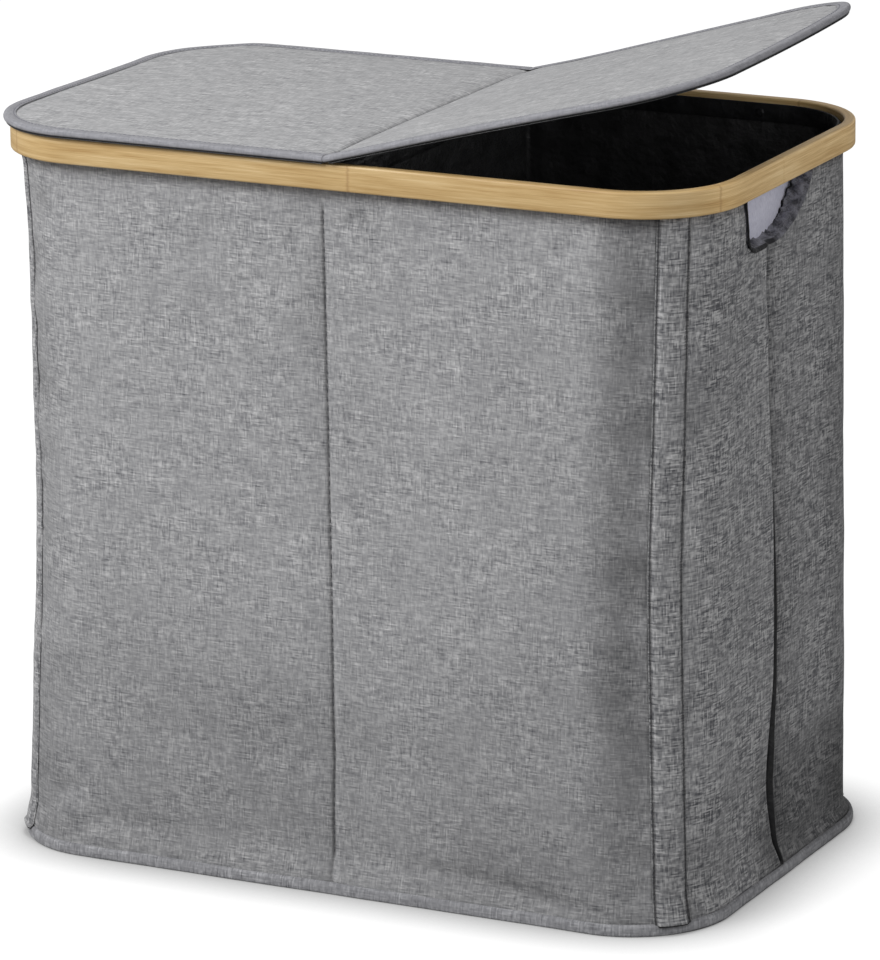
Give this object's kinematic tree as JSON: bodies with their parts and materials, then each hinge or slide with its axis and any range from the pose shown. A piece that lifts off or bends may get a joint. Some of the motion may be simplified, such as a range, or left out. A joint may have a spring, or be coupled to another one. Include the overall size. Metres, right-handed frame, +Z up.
{
  "type": "laundry hamper",
  "caption": "Fabric laundry hamper with a bamboo rim, two lined bins side by side, a hinged lid over each bin and a hand hold in each end wall.",
  "frame": {"origin": "on the floor, under the middle of the bamboo rim", "axes": "+Z up, -Y towards the front face, +X towards the raised lid along the long side"},
  "size_m": [0.5445, 0.34, 0.5805],
  "materials": {
    "bamboo": "satin",
    "grey_fabric": "heathered weave",
    "grey_binding": "woven tape",
    "pale_pocket": "plain weave",
    "black_lining": "coated, slightly glossy",
    "fibreboard": "bare board",
    "slat_plastic": "matte",
    "tack_steel": "blued"
  },
  "bodies": {
    "body": {"bar_dowel_front": "bamboo", "bar_dowel_rear": "bamboo", "base_binding": "grey_binding", "base_board": "fibreboard", "base_cover": "grey_fabric", "centre_bar": "bamboo", "corner_casing_front_left": "grey_fabric", "corner_casing_front_right": "grey_fabric", "corner_casing_rear_left": "grey_fabric", "corner_casing_rear_right": "grey_fabric", "corner_slat_front_left": "slat_plastic", "corner_slat_front_right": "slat_plastic", "corner_slat_rear_left": "slat_plastic", "corner_slat_rear_right": "slat_plastic", "divider_board": "fibreboard", "handle_binding_left": "grey_binding", "handle_binding_right": "grey_binding", "handle_pocket_left": "pale_pocket", "handle_pocket_right": "pale_pocket", "hem_band_left": "black_lining", "hem_band_right": "black_lining", "hinge_tack_01": "tack_steel", "hinge_tack_02": "tack_steel", "hinge_tack_03": "tack_steel", "hinge_tack_04": "tack_steel", "hinge_tack_05": "tack_steel", "hinge_tape": "black_lining", "liner_left": "black_lining", "liner_right": "black_lining", "rim_front": "bamboo", "rim_rear": "bamboo", "rim_tack_01": "tack_steel", "rim_tack_02": "tack_steel", "rim_tack_03": "tack_steel", "rim_tack_04": "tack_steel", "rim_tack_05": "tack_steel", "rim_tack_06": "tack_steel", "rim_tack_07": "tack_steel", "rim_tack_08": "tack_steel", "rim_tack_09": "tack_steel", "rim_tack_10": "tack_steel", "rim_tack_11": "tack_steel", "rim_tack_12": "tack_steel", "shell_front": "grey_fabric", "shell_rear": "grey_fabric"},
    "left_lid": {"lid_binding_left": "grey_binding", "lid_board_left": "fibreboard", "lid_top_cover_left": "grey_fabric", "lid_underside_left": "black_lining"},
    "right_lid": {"lid_binding_right": "grey_binding", "lid_board_right": "fibreboard", "lid_top_cover_right": "grey_fabric", "lid_underside_right": "black_lining"}
  },
  "joints": [
    {"name": "left_lid_hinge", "type": "hinge", "parent": "body", "child": "left_lid", "pos_m": [0, 0, 0.5132], "axis": [0, 1, 0], "range_deg": [0, 90]},
    {"name": "right_lid_hinge", "type": "hinge", "parent": "body", "child": "right_lid", "pos_m": [0, 0, 0.5132], "axis": [0, -1, 0], "range_deg": [-14.5, 75.5]}
  ]
}
